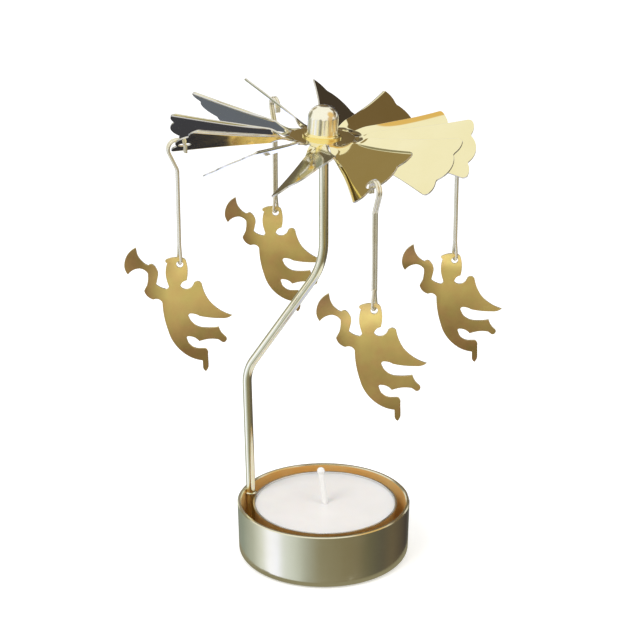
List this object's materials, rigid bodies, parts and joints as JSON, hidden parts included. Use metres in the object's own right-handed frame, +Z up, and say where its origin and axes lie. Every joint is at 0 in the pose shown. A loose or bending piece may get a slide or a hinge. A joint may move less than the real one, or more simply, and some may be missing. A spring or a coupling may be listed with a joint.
{
  "type": "angel chime carousel",
  "caption": "Brass tealight holder with a bent mast whose needle carries a bladed wheel that turns in the candle's warm air, with hanging angel silhouettes.",
  "frame": {"origin": "centre of the cup's underside, on the surface it stands on", "axes": "+Z up along the needle and the wheel's axis, -Y towards the front of the picture, +X to its right"},
  "size_m": [0.0955, 0.0754, 0.1215],
  "materials": {
    "brass_cup": "brushed",
    "brass_rod": "polished",
    "brass_sheet": "mirror",
    "brass_wire": "polished",
    "brass_figure": "satin",
    "foil": "bright",
    "wax": "waxy",
    "wick": "matte"
  },
  "bodies": {
    "stand": {"base_cup": "brass_cup", "mast": "brass_rod", "mast_solder": "brass_rod"},
    "rotor": {"rotor_disc": "brass_sheet", "hub_cap": "brass_sheet"},
    "candle": {"tealight_cup": "foil", "tealight_wax": "wax", "tealight_wick": "wick", "tealight_sustainer": "foil"},
    "hanger_front": {"hanger_front": "brass_wire"},
    "angel_front": {"angel_front": "brass_figure"},
    "hanger_right": {"hanger_right": "brass_wire"},
    "angel_right": {"angel_right": "brass_figure"},
    "hanger_back": {"hanger_back": "brass_wire"},
    "angel_back": {"angel_back": "brass_figure"},
    "hanger_left": {"hanger_left": "brass_wire"},
    "angel_left": {"angel_left": "brass_figure"}
  },
  "joints": [
    {"name": "rotor_spin", "type": "hinge", "parent": "stand", "child": "rotor", "pos_m": [0, 0, 0.12105], "axis": [0, 0, 1], "continuous": true},
    {"name": "tealight_lift", "type": "slide", "parent": "stand", "child": "candle", "axis": [0, 0, 1], "range_m": [0, 0.02]},
    {"name": "hanger_front_swing", "type": "hinge", "parent": "rotor", "child": "hanger_front", "pos_m": [0.01189, -0.03485, 0.11022], "axis": [-0.9198, -0.3923, 0], "range_deg": [-6, 25]},
    {"name": "angel_front_rock", "type": "hinge", "parent": "hanger_front", "child": "angel_front", "pos_m": [0.01189, -0.03485, 0.08112], "axis": [0, -1, 0], "range_deg": [-25, 25]},
    {"name": "hanger_right_swing", "type": "hinge", "parent": "rotor", "child": "hanger_right", "pos_m": [0.03386, 0.01214, 0.10669], "axis": [0.3923, -0.9198, 0], "range_deg": [-6, 25]},
    {"name": "angel_right_rock", "type": "hinge", "parent": "hanger_right", "child": "angel_right", "pos_m": [0.03386, 0.01214, 0.07759], "axis": [0, -1, 0], "range_deg": [-25, 25]},
    {"name": "hanger_back_swing", "type": "hinge", "parent": "rotor", "child": "hanger_back", "pos_m": [-0.01294, 0.03491, 0.11238], "axis": [0.9198, 0.3923, 0], "range_deg": [-6, 25]},
    {"name": "angel_back_rock", "type": "hinge", "parent": "hanger_back", "child": "angel_back", "pos_m": [-0.01294, 0.03491, 0.08328], "axis": [0, -1, 0], "range_deg": [-25, 25]},
    {"name": "hanger_left_swing", "type": "hinge", "parent": "rotor", "child": "hanger_left", "pos_m": [-0.03535, -0.01227, 0.11392], "axis": [-0.3923, 0.9198, 0], "range_deg": [-6, 25]},
    {"name": "angel_left_rock", "type": "hinge", "parent": "hanger_left", "child": "angel_left", "pos_m": [-0.03535, -0.01227, 0.08482], "axis": [0, -1, 0], "range_deg": [-25, 25]}
  ]
}
